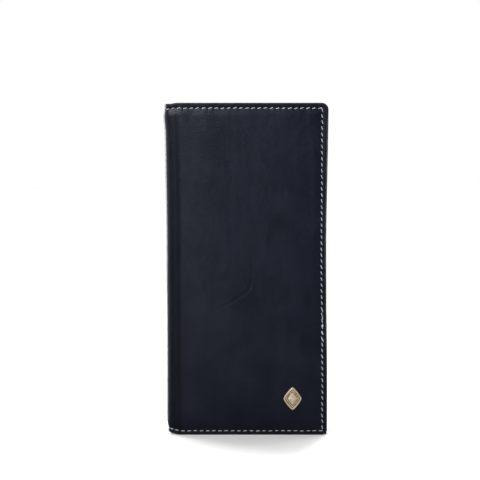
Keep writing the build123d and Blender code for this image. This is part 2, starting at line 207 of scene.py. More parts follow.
def rounded_edge(rim, size):
    """The height of a rounded edge against its face, which is 0 from size inwards."""
    inside = np.clip(size - rim, 0, size)
    return np.sqrt(np.maximum(size**2 - inside**2, 0)) - size


def noise_over(s, z, scale_s, scale_z, seed):
    """Smooth noise at every point of a grid."""
    places = zip(s.ravel(), z.ravel())
    values = [noise.noise(Vector((a * scale_s, b * scale_z, seed))) for a, b in places]
    return np.array(values).reshape(s.shape)


def worn_outline(points):
    """Moves points to the worn outline: a slight waist at the open edge, a spine that stands out
    at the top and is drawn in below, and spine ends that have settled."""
    x, y, z = np.asarray(points, float).T
    from_spine = x - SPINE_X
    spine_in = SPINE_DRAWN_IN * smoothstep(HIGH_Z - 5 * MM, HIGH_Z - 80 * MM, z)
    spine_in = spine_in - SPINE_BULGE * bell(z, BULGE_Z, BULGE_LENGTH)
    spine_in = spine_in * (1 - smoothstep(0, SIDE_REACH, from_spine))
    waist = WAIST * bell(z, WAIST_Z, WAIST_LENGTH) * smoothstep(OPEN_X - SIDE_REACH, OPEN_X, x)
    low_end = smoothstep(8 * MM, 0, from_spine) * smoothstep(LOW_Z + 24 * MM, LOW_Z, z)
    high_end = smoothstep(8 * MM, 4 * MM, from_spine) * smoothstep(HIGH_Z - 16 * MM, HIGH_Z, z)
    moved_z = z + LOW_END_LIFT * low_end - HIGH_END_DROP * high_end
    return np.stack([x + spine_in - waist, y, moved_z], -1)


def link(name, data):
    obj = bpy.data.objects.new(name, data)
    bpy.context.scene.collection.objects.link(obj)
    return obj


def shade_smooth(mesh):
    for polygon in mesh.polygons:
        polygon.use_smooth = True


def make_mesh(name, points, faces, worn=True):
    if worn:
        points = worn_outline(points)
    mesh = bpy.data.meshes.new(name)
    mesh.from_pydata([tuple(p) for p in points], [], faces)
    mesh.update()
    shade_smooth(mesh)
    return link(name, mesh)


def make_from(name, work):
    """An object from a bmesh, which is freed."""
    mesh = bpy.data.meshes.new(name)
    work.to_mesh(mesh)
    work.free()
    return link(name, mesh)


def bevel(work, edges, width, segments):
    """Rounds edges of a bmesh."""
    bmesh.ops.bevel(
        work,
        geom=edges,
        offset=width,
        segments=segments,
        profile=0.6,
        affect="EDGES",
        clamp_overlap=True,
    )


def ring_faces(first, rings, around):
    """Faces between rings of points, of which the first point has the index first."""
    faces = []
    for i in range(rings - 1):
        for k in range(around):
            a, b = first + i * around + k, first + i * around + (k + 1) % around
            faces.append((a, b, b + around, a + around))
    return faces


def point_attribute(obj, name, values):
    values = np.asarray(values, np.float32)
    if values.ndim == 1:
        obj.data.attributes.new(name, "FLOAT", "POINT").data.foreach_set("value", values)
    else:
        layer = obj.data.attributes.new(name, "FLOAT_VECTOR", "POINT")
        layer.data.foreach_set("vector", values.ravel())


def shell_attribute(obj, name, grid):
    """An attribute with the same values on both sides of a shell."""
    point_attribute(obj, name, np.concatenate([grid.reshape(-1, *grid.shape[2:])] * 2))


def shell(name, outer, inner, grain, rim):
    """A closed sheet from two grids of points, rows by columns, with side walls between their
    borders."""
    rows, columns = outer.shape[:2]
    count = rows * columns
    index = np.arange(count).reshape(rows, columns)
    a, b = index[:-1, :-1].ravel(), index[:-1, 1:].ravel()
    c, d = index[1:, 1:].ravel(), index[1:, :-1].ravel()
    top = np.stack([a, b, c, d], 1)
    under = np.stack([d, c, b, a], 1) + count
    border = np.concatenate([index[0, :-1], index[:-1, -1], index[-1, :0:-1], index[:0:-1, 0]])
    after = np.roll(border, -1)
    walls = np.stack([after, border, border + count, after + count], 1)
    points = np.concatenate([outer.reshape(-1, 3), inner.reshape(-1, 3)])
    obj = make_mesh(name, points, np.concatenate([top, under, walls]).tolist())
    for polygon in obj.data.polygons[-len(walls) :]:
        polygon.use_smooth = False
    shell_attribute(obj, "grain_co", grain)
    shell_attribute(obj, "rim", rim)
    return obj


def face_outwards(obj):
    work = bmesh.new()
    work.from_mesh(obj.data)
    bmesh.ops.recalc_face_normals(work, faces=work.faces)
    # on a deep folded sheet they may all come out facing inwards
    if work.calc_volume(signed=True) < 0:
        bmesh.ops.reverse_faces(work, faces=work.faces)
    work.to_mesh(obj.data)
    work.free()
    return obj


def line_distance(x, z, points):
    """Distance from each (x, z) to a smooth line through points, and how far along it the nearest
    place is."""
    dense = []
    padded = [np.array(p) for p in [points[0], *points, points[-1]]]
    for p0, p1, p2, p3 in zip(padded, padded[1:], padded[2:], padded[3:]):
        for t in np.linspace(0, 1, 14, endpoint=False):
            square = (2 * p0 - 5 * p1 + 4 * p2 - p3) * t**2
            cube = (3 * p1 - p0 - 3 * p2 + p3) * t**3
            dense.append(0.5 * (2 * p1 + (p2 - p0) * t + square + cube))
    dense.append(padded[-1])
    best = np.full(x.shape, np.inf)
    along = np.zeros(x.shape)
    for i, (px, pz) in enumerate(dense):
        distance = np.hypot(x - px, z - pz)
        nearer = distance < best
        best = np.where(nearer, distance, best)
        along = np.where(nearer, i / (len(dense) - 1), along)
    return best, along


# --- Stitching


def run_of_stitches(start, end, slant, pitch=STITCH_PITCH):
    """Stitches from start to end: centre u, centre v, angle, length scale."""
    start, end = np.array(start), np.array(end)
    count = int(np.linalg.norm(end - start) / pitch) + 1
    along = math.atan2(*(end - start)[::-1])
    places = []
    for i in range(count):
        u, v = start + (end - start) * i / (count - 1)
        angle = along + slant + rng.normal(0, STITCH_TURN)
        u += rng.normal(0, STITCH_SHIFT)
        v += rng.normal(0, STITCH_SHIFT)
        places.append((u, v, angle, 1 + rng.normal(0, STITCH_STRETCH)))
    return places


def thread_piece(name, groups, sides=10, rings=11):
    """Twisted two-ply thread for many stitches. Each group is (places, to_space), and to_space
    turns (u, v, height) into a point: height is above the leather."""
    points, faces, grain = [], [], []
    for places, to_space in groups:
        for u, v, angle, scale in places:
            half = STITCH_LENGTH * scale / 2
            turn = rng.uniform(0, math.tau)
            first = len(points)
            for i in range(rings):
                t = i / (rings - 1) * 2 - 1
                along = half * math.sin(t * math.pi / 2)
                # the ends dive into their holes
                height = THREAD * (0.55 - 1.5 * abs(t) ** 5)
                size = THREAD * (1 - 0.45 * abs(t) ** 6)
                for k in range(sides):
                    phi = math.tau * k / sides
                    ply = 1 + 0.13 * math.cos(2 * (phi - turn - along / MM * 2.6))
                    across = size * ply * math.cos(phi)
                    lift = height + size * ply * 0.85 * math.sin(phi)
                    pu = u + along * math.cos(angle) - across * math.sin(angle)
                    pv = v + along * math.sin(angle) + across * math.cos(angle)
                    points.append(to_space(pu, pv, lift))
                    grain.append((along, across, lift))
            faces += ring_faces(first, rings, sides)
            faces.append(tuple(first + k for k in reversed(range(sides))))
            faces.append(tuple(first + (rings - 1) * sides + k for k in range(sides)))
    obj = face_outwards(make_mesh(name, points, faces))
    point_attribute(obj, "grain_co", grain)
    return obj


def dimples(u, v, places, depth):
    """How far the leather is pulled in round each stitch, as a positive depth at points u, v."""
    pull = np.zeros(u.shape)
    for pu, pv, angle, scale in places:
        near = (np.abs(u - pu) < 2.6 * MM) & (np.abs(v - pv) < 2.6 * MM)
        if not near.any():
            continue
        du, dv = u[near] - pu, v[near] - pv
        along = du * math.cos(angle) + dv * math.sin(angle)
        across = -du * math.sin(angle) + dv * math.cos(angle)
        half = STITCH_LENGTH * scale / 2
        beyond = np.maximum(np.abs(along) - half * 0.8, 0)
        groove = bell(across, 0, 0.62 * MM) * bell(beyond, 0, 0.4 * MM)
        holes = bell(np.abs(along), half, 0.35 * MM) * bell(across, 0, 0.4 * MM)
        pull[near] = np.maximum(pull[near], depth * (0.65 * groove + 0.6 * holes))
    return pull


# --- The outer leather

# s runs along the leather's outside, from the middle of the spine, round the bend and across the
# cover. side is -1 for the front half and 1 for the back half.
HALF_SPINE = (BACK_Y - FRONT_Y) / 2 - FOLD_BEND
BEND = FOLD_BEND * math.pi / 2
COVER_RUN = OPEN_X - (SPINE_X + FOLD_BEND)
SKIN_RUN = HALF_SPINE + BEND + COVER_RUN
SKIN_OUTLINE = (SKIN_RUN, LOW_Z, HIGH_Z, TOP_CORNER, BOTTOM_CORNER)


def skin_place(s, depth, side):
    """The X and Y of a place s along the outside and depth below it."""
    angle = np.clip((s - HALF_SPINE) / FOLD_BEND, 0, math.pi / 2)
    before = np.minimum(s - HALF_SPINE, 0)
    after = np.maximum(s - HALF_SPINE - BEND, 0)
    radius = FOLD_BEND - depth
    x = SPINE_X + FOLD_BEND - radius * np.cos(angle) + after
    y = side * (HALF_SPINE + before + radius * np.sin(angle)) + MIDDLE_Y
    return x, y


def cover_x(s):
    """The X of a place on the flat of a cover."""
    return s - HALF_SPINE - BEND + SPINE_X + FOLD_BEND


def skin_rim(s, z):
    """How far inside its own outline a place on the leather is."""
    return rim_distance(s, z, *SKIN_OUTLINE)


def edge_seam_drift(z):
    """The open edge's seam leans in a little towards the top."""
    return EDGE_SEAM + 0.8 * MM * smoothstep(HIGH_Z - 75 * MM, HIGH_Z, z)


def cover_stitches():
    """Stitches of one cover in (s, z): the top row from the spine, the open edge downwards and the
    bottom row from the spine."""
    top_z, low_z = HIGH_Z - TOP_SEAM, LOW_Z + BOTTOM_SEAM
    top_end = SKIN_RUN - edge_seam_drift(HIGH_Z) - 1.2 * MM
    rows = run_of_stitches((STITCH_PITCH / 2, top_z), (top_end, top_z), SLANT)
    column = run_of_stitches((0, top_z - 1.0 * MM), (0, low_z + STITCH_PITCH * 0.6), SLANT)
    rows += [(SKIN_RUN - float(edge_seam_drift(z)) + u, z, a, l) for u, z, a, l in column]
    start, end = (STITCH_PITCH / 2, low_z), (SKIN_RUN - EDGE_SEAM - 0.8 * MM, low_z)
    return rows + run_of_stitches(start, end, SLANT / 4, STITCH_PITCH * 1.05)


def back_tack(low_z, count):
    """A few stitches sewn over the first ones where the seam's ends overlap."""
    s = SKIN_RUN - EDGE_SEAM + 0.35 * MM
    return run_of_stitches((s, low_z), (s, low_z + STITCH_PITCH * count), SLANT * 0.6)


def soft_relief(s, rim):
    """The leather's height without its stitches and creases: pressed border, seam and padding."""
    from_bend = s - HALF_SPINE - BEND
    border = -0.62 * MM * (1 - smoothstep(2.8 * MM, 7.6 * MM, rim))
    flat = smoothstep(-0.45 * BEND, 16 * MM, from_bend)
    crown = 0.50 * MM * smoothstep(4.5 * MM, 22 * MM, rim) * flat
    across = np.clip((cover_x(s) - SPINE_X) / (OPEN_X - SPINE_X), 0, 1)
    swell = 0.4 * MM * np.sin(across**0.8 * math.pi) * smoothstep(3 * MM, 14 * MM, rim)
    seam = -0.16 * MM * bell(rim, 2.8 * MM, 0.85 * MM)
    # the corner of the bend is pressed flatter, down to a fold line on the cover
    eased = smoothstep(-0.7 * BEND, -0.1 * BEND, from_bend)
    eased = eased * smoothstep(3.6 * MM, 0.2 * MM, from_bend)
    fold_line = -0.05 * MM * bell(from_bend, 3.4 * MM, 0.7 * MM)
    return border + crown + swell + seam + fold_line - 0.62 * MM * eased


def cover_relief(s, z, rim, places, creases):
    """Height of the leather above its flat outside."""
    edge_line = -0.09 * MM * bell(rim, 1.3 * MM, 0.22 * MM)
    relief = soft_relief(s, rim) + edge_line + rounded_edge(rim, EDGE_ROUND)
    relief = relief - dimples(s, z, places, 0.42 * MM)
    for points, depth, width in creases:
        distance, along = line_distance(cover_x(s), z, points)
        fade = np.sin(np.clip(along, 0.02, 0.98) * math.pi) ** 0.6
        valley = bell(distance, 0, width) - 0.45 * bell(distance, 0, width * 2.4)
        relief = relief - depth * fade * valley
    return relief


def cover_skin(name, side, places, creases, seed):
    """One half of the outer leather, from the middle of the spine to the open edge."""
    columns = levels(0, SKIN_RUN, SKIN_STEP, fine_low=False)
    rows = levels(LOW_Z, HIGH_Z, SKIN_STEP)
    s, z = np.meshgrid(columns, rows)
    s, z = round_corners(s, z, *SKIN_OUTLINE)
    rim = skin_rim(s, z)
    inside = smoothstep(3 * MM, 14 * MM, rim) * smoothstep(0, 9 * MM, s)
    waves = 0.10 * MM * noise_over(s, z, 45, 30, seed) * inside
    x, y = skin_place(s, -cover_relief(s, z, rim, places, creases) - waves, side)
    under = COVER - np.clip(EDGE_ROUND * 0.5 - rim, 0, 1)
    inner_x, inner_y = skin_place(s, under, side)
    # one hide runs on across the spine, so both halves share the grain's origin there
    grain = np.stack([-side * s, z, np.full(s.shape, MM)], -1)
    skin = shell(name, np.stack([x, y, z], -1), np.stack([inner_x, inner_y, z], -1), grain, rim)
    away = np.hypot((cover_x(s) + 27 * MM) / (26 * MM), (z - 157 * MM) / (34 * MM))
    shell_attribute(skin, "wrinkle", 0.22 + 0.78 * bell(away, 0, 1))
    # edge wear at a quarter strength all round, and at full strength along the middle of the open
    # edge, where the light edge is a painted highlight of its lit rim
    wear_and_rim_highlight = smoothstep(LOW_Z + 40 * MM, LOW_Z + 75 * MM, z)
    wear_and_rim_highlight = wear_and_rim_highlight * smoothstep(HIGH_Z - 5 * MM, HIGH_Z - 14 * MM, z)
    wear_and_rim_highlight = wear_and_rim_highlight * smoothstep(SKIN_RUN - 5 * MM, SKIN_RUN - 3 * MM, s)
    shell_attribute(skin, "wear_and_rim_highlight", 0.25 + 0.75 * wear_and_rim_highlight)
    from_bend = s - HALF_SPINE - BEND
    # painted shade over the leather's bend beside the spine, where it turns away from the lamps
    painted_bend_shade = smoothstep(-BEND, -0.6 * BEND, from_bend)
    painted_bend_shade = painted_bend_shade * smoothstep(4.4 * MM, 2.4 * MM, from_bend)
    shell_attribute(skin, "painted_bend_shade", painted_bend_shade)
    return face_outwards(skin)


def on_skin(side, lift=0.0):
    """Turns (s, z, height) on a cover into a point above the leather."""

    def to_space(s, z, height):
        s, z = np.array(s), np.array(z)
        relief = soft_relief(s, skin_rim(s, z))
        x, y = skin_place(s, -(height + relief + lift - 0.10 * MM), side)
        return (float(x), float(y), float(z))

    return to_space


def in_mm(*pairs):
    """Points given in millimetres."""
    return [(x * MM, z * MM) for x, z in pairs]


# Creases worn into the leather: points (x, z), depth and width
ARC = in_mm((3.3, 101), (3.2, 91), (1.2, 84), (-6.2, 78.4), (-15, 73.5), (-26.5, 68.5))
ARC_BRANCH = in_mm((-4.5, 80.3), (-8.5, 78.6), (-13.5, 79.4))
FRONT_CREASES = [(ARC, 0.26 * MM, 0.75 * MM), (ARC_BRANCH, 0.09 * MM, 0.5 * MM)]
for i in range(9):
    z = 131 + i * 5.2 + rng.uniform(-1, 1)
    x = -34 + rng.uniform(0, 9)
    run = rng.uniform(7, 15)
    bow = rng.uniform(-1.2, 1.2)
    line = in_mm((x, z), (x + run / 2, z + bow), (x + run, z + bow * 0.4))
    FRONT_CREASES.append((line, 0.022 * MM, 0.6 * MM))
BACK_CREASES = [
    (in_mm((-8, 122), (2, 118), (11, 120.5)), 0.05 * MM, 0.8 * MM),
    (in_mm((-20, 60), (-12, 57), (-2, 58.5)), 0.04 * MM, 0.8 * MM),
]

TACK_LIFT = 0.18 * MM  # a second layer of stitches lies on the first
front_places = cover_stitches()
front_tack = back_tack(LOW_Z + 55 * MM, 5)
back_places = cover_stitches()
rear_tack = back_tack(LOW_Z + 60 * MM, 4)

front_skin = cover_skin("front_leather", -1, front_places + front_tack, FRONT_CREASES, 1)
back_skin = cover_skin("back_leather", 1, back_places + rear_tack, BACK_CREASES, 2)
front_thread = thread_piece(
    "front_seam_thread", [(front_places, on_skin(-1)), (front_tack, on_skin(-1, TACK_LIFT))]
)
back_thread = thread_piece(
    "back_seam_thread", [(back_places, on_skin(1)), (rear_tack, on_skin(1, TACK_LIFT))]
)

# --- Inner sheets

PANEL = 0.8 * MM  # thickness of a pocket's leather
INSET = 0.3 * MM  # how far the inner sheets stop short of the cover's edges
INNER_TOP = TOP_CORNER - INSET
INNER_BOTTOM = BOTTOM_CORNER - INSET


def inner_sheet(name, node, relief, thickness, seed, corners, step=SHEET_STEP, hole=None):
    """A leather sheet in the place of a CAD node, facing the other half. relief(x, z, rim) is the
    height of its face, thickness(x, z, rim) is how deep it goes and corners are the radii of the
    upper and lower open corners."""
    half = "front" if node.startswith("front") else "back"
    inwards = 1 if half == "front" else -1
    low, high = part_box(node)
    columns, rows = levels(low.x, high.x, step), levels(low.z, high.z, step)
    if hole:
        (hole_low_x, hole_low_z), (hole_high_x, hole_high_z) = hole
        across = levels(hole_low_x, hole_high_x, step)[1:]
        beside = levels(hole_high_x, high.x, step)[1:]
        columns = np.concatenate([levels(low.x, hole_low_x, step), across, beside])
        up = np.linspace(hole_low_z, hole_high_z, 9)[1:-1]
        above = levels(hole_high_z, high.z, step)
        rows = np.concatenate([levels(low.z, hole_low_z, step), up, above])
    x, z = np.meshgrid(columns, rows)
    top, bottom = (max(corner, 1e-6) for corner in corners)
    outline = (high.x, low.z, high.z, top, bottom)
    x, z = round_corners(x, z, *outline)
    rim = np.minimum(rim_distance(x, z, *outline), x - low.x)
    if hole:
        beyond_x = np.maximum(hole_low_x - x, x - hole_high_x)
        beyond_z = np.maximum(hole_low_z - z, z - hole_high_z)
        rim = np.minimum(rim, np.hypot(np.maximum(beyond_x, 0), np.maximum(beyond_z, 0)))
    face_y = high.y if inwards > 0 else low.y
    height = relief(x, z, rim) + rounded_edge(rim, SHEET_ROUND)
    outer = np.stack([x, face_y + inwards * height, z], -1)
    inner = np.stack([x, face_y - inwards * thickness(x, z, rim), z], -1)
    grain = np.stack([x, z, np.full(x.shape, float(seed) * MM)], -1)
    obj = shell(name, outer, inner, grain, rim)
    # on the inner sheets this is only edge wear, at half strength
    shell_attribute(obj, "wear_and_rim_highlight", np.full(x.shape, 0.5))
    shell_attribute(obj, "wrinkle", np.full(x.shape, 0.3))
    if hole:
        work = bmesh.new()
        work.from_mesh(obj.data)
        gone = []
        for face in work.faces:
            centre = face.calc_center_median()
            if hole_low_x < centre.x < hole_high_x and hole_low_z < centre.z < hole_high_z:
                gone.append(face)
        bmesh.ops.delete(work, geom=gone, context="FACES")
        bmesh.ops.bridge_loops(work, edges=[edge for edge in work.edges if edge.is_boundary])
        work.to_mesh(obj.data)
        work.free()
        shade_smooth(obj.data)
    face_outwards(obj)
    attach(obj, f"{half}_half")
    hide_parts(node)
    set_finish(obj, "inner_leather")


def slot_relief(top_z, seed):
    """A card slot's face: a pressed line under its top edge, a slight swell where cards have been
    and a lip that stands off in the middle."""

    def relief(x, z, rim):
        below = top_z - z
        line = -0.09 * MM * bell(below, 1.6 * MM, 0.25 * MM)
        swell = 0.16 * MM * smoothstep(2 * MM, 16 * MM, rim) * np.exp(-below / (40 * MM))
        lip = 0.10 * MM * bell(x, x.mean(), 26 * MM) * np.exp(-below / (5 * MM))
        wave = 0.05 * MM * np.sin(x / MM * 0.11 + seed) * smoothstep(3 * MM, 12 * MM, rim)
        return line + swell + lip + wave

    return relief


def panel_relief(seed):
    """A note pocket's face: a pressed line and a seam along its edges, and slight waves."""

    def relief(x, z, rim):
        line = -0.08 * MM * bell(rim, 1.4 * MM, 0.25 * MM)
        seam = -0.07 * MM * bell(rim, 2.6 * MM, 0.8 * MM)
        wave = 0.06 * MM * np.sin(x / MM * 0.08 + z / MM * 0.05 + seed)
        return line + seam + wave * smoothstep(4 * MM, 14 * MM, rim)

    return relief


def turned_down(node, spine_side_open):
    """A panel's depth: thin inside, and the CAD node's whole thickness in the seam zone, where it
    is turned down."""
    low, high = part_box(node)
    thick = high.y - low.y

    def thickness(x, z, rim):
        border = np.minimum(high.x - x, np.minimum(z - low.z, high.z - z))
        if not spine_side_open:
            border = np.minimum(border, x - low.x)
        return thick + (PANEL - thick) * smoothstep(3.6 * MM, 4.2 * MM, border)

    return thickness


for half, seed in (("front", 3), ("back", 1)):
    name, node = f"{half}_note_pocket_wall", f"{half}_note_panel"
    corners = (INNER_TOP, INNER_BOTTOM)
    inner_sheet(name, node, panel_relief(seed), turned_down(node, True), 3 + seed, corners)

slot_nodes = sorted(n for n in frame["nodes"] if "card_slot" in n)
for order, node in enumerate(slot_nodes):
    low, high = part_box(node)
    depth = high.y - low.y - HAIR
    inner_sheet(
        f"{node}_leather",
        node,
        slot_relief(high.z, order * 1.7),
        lambda x, z, rim: np.full(x.shape, depth),
        10 + order,
        (0, INNER_BOTTOM),
    )

# The coin pocket's face, with the zip's window in it
stop_low, stop_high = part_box("zip_stops")
ZIP_Z = (stop_low.z + stop_high.z) / 2
WINDOW_HALF = 4.5 * MM
WINDOW = ((stop_low.x, ZIP_Z - WINDOW_HALF), (stop_high.x, ZIP_Z + WINDOW_HALF))


def coin_relief(x, z, rim):
    swell = 0.45 * MM * smoothstep(3 * MM, 22 * MM, rim) * smoothstep(ZIP_Z, ZIP_Z - 40 * MM, z)
    return swell - 0.08 * MM * bell(rim, 1.0 * MM, 0.25 * MM)


inner_sheet(
    "coin_pocket_face",
    "coin_panel",
    coin_relief,
    turned_down("coin_panel", False),
    30,
    (INNER_TOP, 0),
    step=1.6 * MM,
    hole=WINDOW,
)

# --- Lining: cloth behind each cover, round the bend and across half of the spine

LINING = 0.5 * MM
lining_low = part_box("front_lining")[0]
LINING_FLAT = lining_low.y - FRONT_Y  # how deep it lies behind the flat of a cover
CLOTH_RUN = SKIN_RUN - INSET
CLOTH_HEIGHT = HIGH_Z + LOW_Z - 2 * lining_low.z
FINE_RUN = 26 * MM  # close columns over the bend and the spine


def lining_cloth(name, side, seed):
    low_z, high_z = lining_low.z, lining_low.z + CLOTH_HEIGHT
    outline = (CLOTH_RUN, low_z, high_z, INNER_TOP, INNER_BOTTOM)
    fine, coarse = np.linspace(HAIR, FINE_RUN, 53), np.linspace(FINE_RUN, CLOTH_RUN, 32)[1:]
    s, z = np.meshgrid(np.concatenate([[0], fine, coarse]), np.linspace(low_z, high_z, 150))
    s, z = round_corners(s, z, *outline)
    from_bend = s - HALF_SPINE - BEND
    loose = 0.12 * MM * (1 - smoothstep(0, 5 * MM, from_bend))
    waves = loose * (noise_over(s, z, 160, 60, seed) + 0.5)
    depth = COVER + 0.03 * MM
    depth = depth + (LINING_FLAT - COVER) * smoothstep(0, 4 * MM, from_bend)
    x, y = skin_place(s, depth + LINING + waves, side)
    under_x, under_y = skin_place(s, depth, side)
    rim = rim_distance(s, z, *outline)
    outer, inner = np.stack([x, y, z], -1), np.stack([under_x, under_y, z], -1)
    grain = np.stack([s, z, np.full(s.shape, float(seed) * MM)], -1)
    return face_outwards(shell(name, outer, inner, grain, rim))


front_cloth = lining_cloth("front_lining_cloth", -1, 3)
back_cloth = lining_cloth("back_lining_cloth", 1, 4)

# --- Boards and the coin bag's wall follow the worn outline too

BAND = 6 * MM
WELD = 0.002 * MM


def cad_copy(node):
    """A CAD node's mesh to work on, with its faces joined up."""
    work = bmesh.new()
    work.from_mesh(frame["nodes"][node].data)
    bmesh.ops.remove_doubles(work, verts=work.verts, dist=WELD)
    return work


def worn_copy(name, node):
    """A copy of a CAD node, cut into bands and moved to the worn outline."""
    low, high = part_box(node)
    work = cad_copy(node)
    cuts = [((0, 0, place), (0, 0, 1)) for place in np.arange(low.z + BAND, high.z, BAND)]
    cuts += [((place, 0, 0), (1, 0, 0)) for place in np.arange(low.x + BAND, high.x, BAND)]
    for place, across in cuts:
        everything = [*work.verts, *work.edges, *work.faces]
        bmesh.ops.bisect_plane(work, geom=everything, plane_co=place, plane_no=across)
    grain = [(v.co.x, v.co.z, 0) for v in work.verts]
    for vertex, moved in zip(work.verts, worn_outline([v.co for v in work.verts])):
        vertex.co = moved
    obj = make_from(name, work)
    point_attribute(obj, "grain_co", grain)
    return obj


for name, node, body, slot in (
    ("front_board_sheet", "front_board", "front_half", "board"),
    ("back_board_sheet", "back_board", "back_half", "board"),
    ("coin_bag_wall_sheet", "coin_bag_wall", "back_half", "lining"),
):
    copy = worn_copy(name, node)
    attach(copy, body)
    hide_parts(node)
    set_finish(copy, slot)

# --- Skins, threads and linings that run across the spine take the place of their CAD nodes


def across_fold(obj, slot, nodes):
    """Bakes obj's place into its mesh, hides the CAD nodes it takes the place of and gives it its
    finish.
    """
    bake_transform(obj)
    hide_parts(*nodes)
    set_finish(obj, slot)


across_fold(front_skin, "outer_leather", ["front_cover", "spine_leather"])
across_fold(back_skin, "outer_leather", ["back_cover", "spine_leather"])
across_fold(front_thread, "thread", ["front_stitching", "spine_stitching"])
across_fold(back_thread, "thread", ["back_stitching", "spine_stitching"])
across_fold(front_cloth, "lining", ["front_lining", "spine_lining"])
across_fold(back_cloth, "lining", ["back_lining", "spine_lining"])

# --- Seams on the inner faces

INNER_SEAM = 2.2 * MM


def inner_face(half):
    """Turns (x, z, height) on the innermost sheet of a half into a point."""
    inwards = 1 if half == "front" else -1
    names = [f"{half}_note_panel"] + [n for n in slot_nodes if n.startswith(half)]
    boxes = [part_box(n) for n in names + ["coin_panel"] * (half == "back")]

    def to_space(x, z, height):
        reached = [b for b in boxes if b[0].z - 0.2 * MM <= z <= b[1].z - 0.2 * MM]
        if inwards > 0:
            y = max(high.y for low, high in reached)
        else:
            y = min(low.y for low, high in reached)
        return (x, y + inwards * (height - 0.06 * MM), z)

    return to_space


def inner_seams(half):
    """Stitches on a half's inner face in (x, z): all round, with gaps at the sheets' edges."""
    seam_x = OPEN_X - EDGE_SEAM
    fold_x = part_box(f"{half}_card_slot_1")[0].x + INNER_SEAM
    steps = sorted(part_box(n)[1].z for n in slot_nodes if n.startswith(half))
    top_z, low_z = HIGH_Z - TOP_SEAM, LOW_Z + BOTTOM_SEAM
    pocket_top = steps[-1] if half == "front" else top_z
    if half == "back":
        steps.append(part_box("coin_panel")[0].z)
    rows = []
    for start, end in (
        ((fold_x, top_z), (seam_x - 2 * MM, top_z)),
        ((fold_x, low_z), (seam_x - 2 * MM, low_z)),
        ((seam_x, top_z), (seam_x, low_z)),
        ((fold_x, pocket_top - INNER_SEAM), (fold_x, low_z + 3 * MM)),
    ):
        rows += run_of_stitches(start, end, -SLANT)
    return [p for p in rows if all(abs(p[1] - step) > 1.5 * MM for step in steps)]


for half in ("front", "back"):
    piece = thread_piece(f"{half}_inner_seam_thread", [(inner_seams(half), inner_face(half))], 8, 9)
    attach(piece, f"{half}_half")
    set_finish(piece, "thread")

# Seam round the zip's window
WINDOW_SEAM = 1.7 * MM
coin_face_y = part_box("coin_panel")[0].y


def on_coin_face(x, z, height):
    return (x, coin_face_y - height + 0.04 * MM, z)


left, down = (edge - WINDOW_SEAM for edge in WINDOW[0])
right, up = (edge + WINDOW_SEAM for edge in WINDOW[1])
corners = [np.array(c) for c in ((left, down), (right, down), (right, up), (left, up))]
window_stitches = []
for a, b in zip(corners, corners[1:] + corners[:1]):
    step = (b - a) / np.linalg.norm(b - a) * STITCH_PITCH / 2
    window_stitches += run_of_stitches(a + step, b - step, 0.1, STITCH_PITCH * 0.95)
coin_thread = thread_piece("coin_seam_thread", [(window_stitches, on_coin_face)], 8, 9)
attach(coin_thread, "back_half")
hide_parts("coin_stitching")
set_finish(coin_thread, "thread")

# --- Zip

for name in ("upper", "lower"):
    low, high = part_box(f"zip_tape_{name}")
    x, z = np.meshgrid(np.linspace(low.x, high.x, 380), np.linspace(low.z, high.z, 26))
    # a herringbone: slanted ribs that turn back every 0.8 mm
    zigzag = np.abs(((z - low.z) / MM) % 1.6 - 0.8) * 5
    weave = 0.035 * MM * np.sin(x / MM * math.tau / 0.8 + zigzag)
    outer = np.stack([x, low.y + 0.02 * MM - weave, z], -1)
    inner = np.stack([x, np.full(x.shape, high.y), z], -1)
    grain, rim = np.stack([x, z, x * 0], -1), np.full(x.shape, 2 * MM)
    tape = face_outwards(shell(f"zip_tape_{name}_cloth", outer, inner, grain, rim))
    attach(tape, "back_half")
    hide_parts(f"zip_tape_{name}")
    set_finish(tape, "zip_tape")

# in millimetres from the tooth's place on the zip's middle line, for the upper row
TOOTH_OUTLINE = [(-0.6, 2.2), (-0.6, 0.75), (-0.28, 0.35), (-0.42, -0.05), (-0.2, -0.35)]
TOOTH_OUTLINE += [(-x, z) for x, z in reversed(TOOTH_OUTLINE)]
TOOTH_HALF = 0.6 * MM
TOOTH_PITCH = 2.0 * MM
for name, side in (("upper", 1), ("lower", -1)):
    low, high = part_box(f"zip_teeth_{name}")
    work = bmesh.new()
    for i in range(round((high.x - low.x - 2 * TOOTH_HALF) / TOOTH_PITCH) + 1):
        place = low.x + TOOTH_HALF + i * TOOTH_PITCH
        outline = [(place + x * MM, low.y, ZIP_Z + side * z * MM) for x, z in TOOTH_OUTLINE]
        face = work.faces.new([work.verts.new(point) for point in outline])
        raised = bmesh.ops.extrude_face_region(work, geom=[face])
        moved = [v for v in raised["geom"] if isinstance(v, bmesh.types.BMVert)]
        bmesh.ops.translate(work, verts=moved, vec=(0, high.y - low.y, 0))
    bmesh.ops.recalc_face_normals(work, faces=work.faces)
    bevel(work, list(work.edges), 0.12 * MM, 2)
    teeth = make_from(f"zip_teeth_{name}_metal", work)
    shade_smooth(teeth.data)
    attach(teeth, "back_half")
    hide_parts(f"zip_teeth_{name}")
    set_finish(teeth, "zip_metal")

